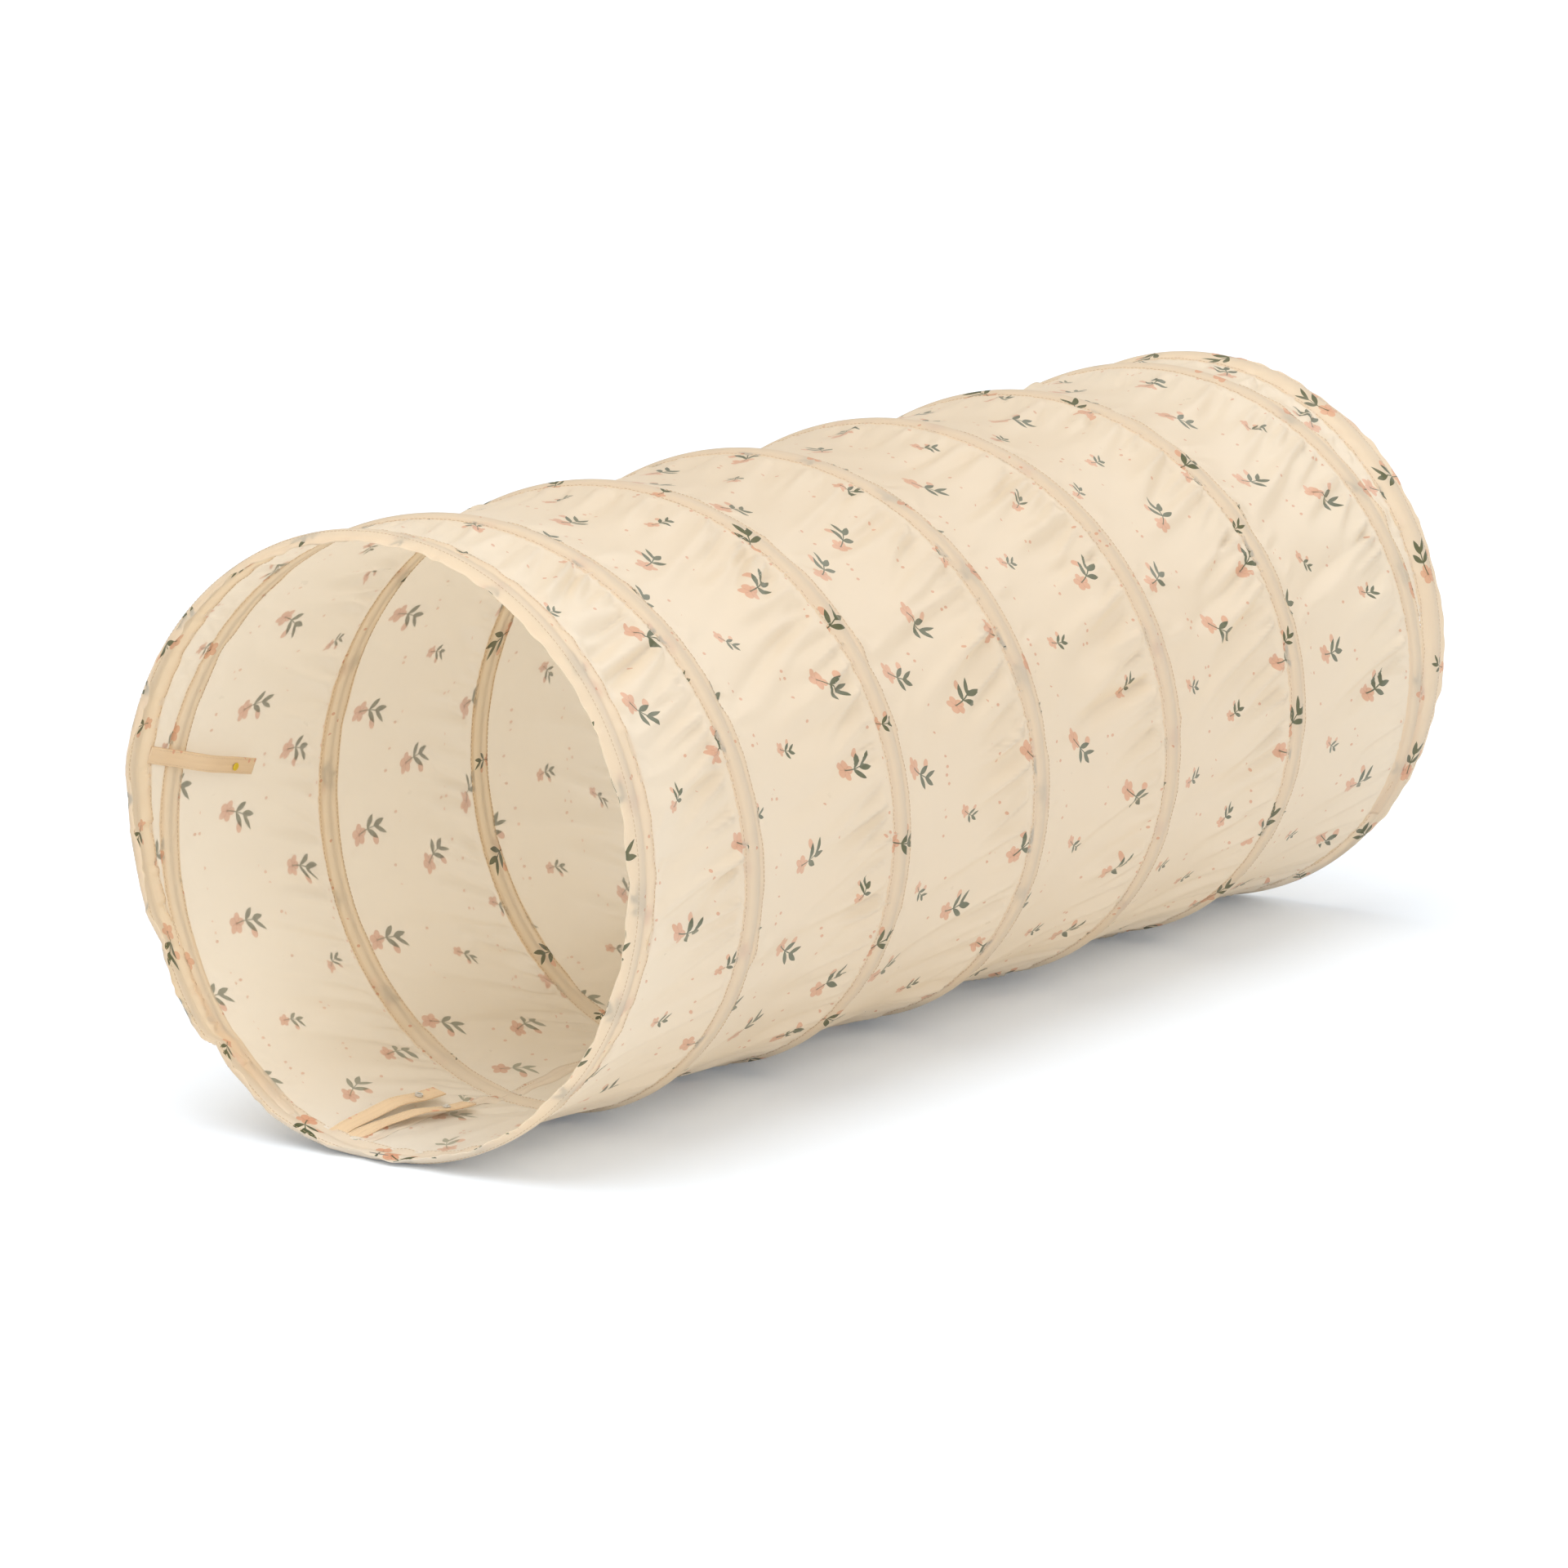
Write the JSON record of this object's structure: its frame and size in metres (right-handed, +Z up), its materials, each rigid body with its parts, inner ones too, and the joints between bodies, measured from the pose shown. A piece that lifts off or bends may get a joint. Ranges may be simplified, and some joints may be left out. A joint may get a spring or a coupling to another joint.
{
  "type": "kids play tunnel",
  "caption": "Pop-up crawl tunnel: a cloth tube on a wide steel spring coil, open at both mouths, with closing straps.",
  "frame": {"origin": "middle of the tunnel's length and width, on the floor that it rests on", "axes": "+Y along the tunnel from the mouth with the straps to the far mouth, +Z up, +X to the right seen from the mouth with the straps"},
  "size_m": [0.4814, 1.2404, 0.4814],
  "materials": {
    "cloth": "thin coated polyester, soft satin, sparse small print",
    "band_cloth": "the same cloth in double layers, stitched along both edges",
    "strap_cloth": "the same cloth folded to a flat tape",
    "spring_steel": "bare drawn spring steel",
    "ferrule_steel": "plain crimped steel tube",
    "stud_yellow": "smooth moulded press stud cap",
    "stud_clear": "smooth moulded press stud half"
  },
  "bodies": {
    "front_end": {"front_hem": "band_cloth", "spring_wire": "spring_steel", "front_ferrule": "ferrule_steel", "skin_panel_1": "cloth"},
    "turn_1": {"sleeve_1": "band_cloth", "skin_panel_2": "cloth"},
    "turn_2": {"sleeve_2": "band_cloth", "skin_panel_3": "cloth"},
    "turn_3": {"sleeve_3": "band_cloth", "skin_panel_4": "cloth"},
    "turn_4": {"sleeve_4": "band_cloth", "skin_panel_5": "cloth"},
    "turn_5": {"sleeve_5": "band_cloth", "skin_panel_6": "cloth"},
    "turn_6": {"sleeve_6": "band_cloth"},
    "rear_end": {"rear_hem": "band_cloth", "rear_ferrule": "ferrule_steel", "skin_panel_7": "cloth"},
    "wall_strap_outer_body": {"wall_strap_outer": "strap_cloth", "wall_strap_outer_stud_cap": "stud_yellow", "wall_strap_outer_stud_socket": "stud_clear"},
    "wall_strap_inner_body": {"wall_strap_inner": "strap_cloth", "wall_strap_inner_stud_cap": "stud_yellow", "wall_strap_inner_stud_post": "stud_clear"},
    "floor_strap_left_body": {"floor_strap_left": "strap_cloth", "floor_strap_left_stud_cap": "stud_yellow", "floor_strap_left_stud_socket": "stud_clear"},
    "floor_strap_right_body": {"floor_strap_right": "strap_cloth", "floor_strap_right_stud_cap": "stud_yellow", "floor_strap_right_stud_post": "stud_clear"}
  },
  "joints": [
    {"name": "fold", "type": "slide", "parent": "front_end", "child": "rear_end", "axis": [0, 1, 0], "range_m": [-1.1164, 0], "stiffness_N_per_m": 20, "springref_m": 0.15, "deforming": ["spring_wire", "skin_panel_1", "skin_panel_2", "skin_panel_3", "skin_panel_4", "skin_panel_5", "skin_panel_6", "skin_panel_7", "sleeve_1", "sleeve_2", "sleeve_3", "sleeve_4", "sleeve_5", "sleeve_6"]},
    {"name": "turn_1_slide", "type": "slide", "parent": "front_end", "child": "turn_1", "axis": [0, 1, 0], "range_m": [-0.0796, 0]},
    {"name": "turn_2_slide", "type": "slide", "parent": "front_end", "child": "turn_2", "axis": [0, 1, 0], "range_m": [-0.2762, 0]},
    {"name": "turn_3_slide", "type": "slide", "parent": "front_end", "child": "turn_3", "axis": [0, 1, 0], "range_m": [-0.4727, 0]},
    {"name": "turn_4_slide", "type": "slide", "parent": "front_end", "child": "turn_4", "axis": [0, 1, 0], "range_m": [-0.6693, 0]},
    {"name": "turn_5_slide", "type": "slide", "parent": "front_end", "child": "turn_5", "axis": [0, 1, 0], "range_m": [-0.8658, 0]},
    {"name": "turn_6_slide", "type": "slide", "parent": "front_end", "child": "turn_6", "axis": [0, 1, 0], "range_m": [-1.0624, 0]},
    {"name": "wall_strap_swing", "type": "hinge", "parent": "front_end", "child": "wall_strap_outer_body", "pos_m": [-0.23276, -0.58519, 0.28394], "axis": [-0.2538, -0.196, -0.9472], "range_deg": [0, 90]},
    {"name": "wall_strap_peel", "type": "hinge", "parent": "wall_strap_outer_body", "child": "wall_strap_inner_body", "pos_m": [-0.23093, -0.58519, 0.28345], "axis": [-0.2538, -0.196, -0.9472], "range_deg": [0, 75]},
    {"name": "floor_strap_left_lift", "type": "hinge", "parent": "front_end", "child": "floor_strap_left_body", "pos_m": [-0.05587, -0.58519, 0.01135], "axis": [0.9659, 0, -0.2588], "range_deg": [0, 100]},
    {"name": "floor_strap_right_lift", "type": "hinge", "parent": "front_end", "child": "floor_strap_right_body", "pos_m": [-0.04215, -0.58519, 0.00767], "axis": [0.9659, 0, -0.2588], "range_deg": [0, 100]}
  ],
  "couplings": [
    {"joint": "turn_1_slide", "follows": "fold", "ratio": 0.07085},
    {"joint": "turn_2_slide", "follows": "fold", "ratio": 0.24691},
    {"joint": "turn_3_slide", "follows": "fold", "ratio": 0.42297},
    {"joint": "turn_4_slide", "follows": "fold", "ratio": 0.59903},
    {"joint": "turn_5_slide", "follows": "fold", "ratio": 0.77509},
    {"joint": "turn_6_slide", "follows": "fold", "ratio": 0.95115}
  ]
}
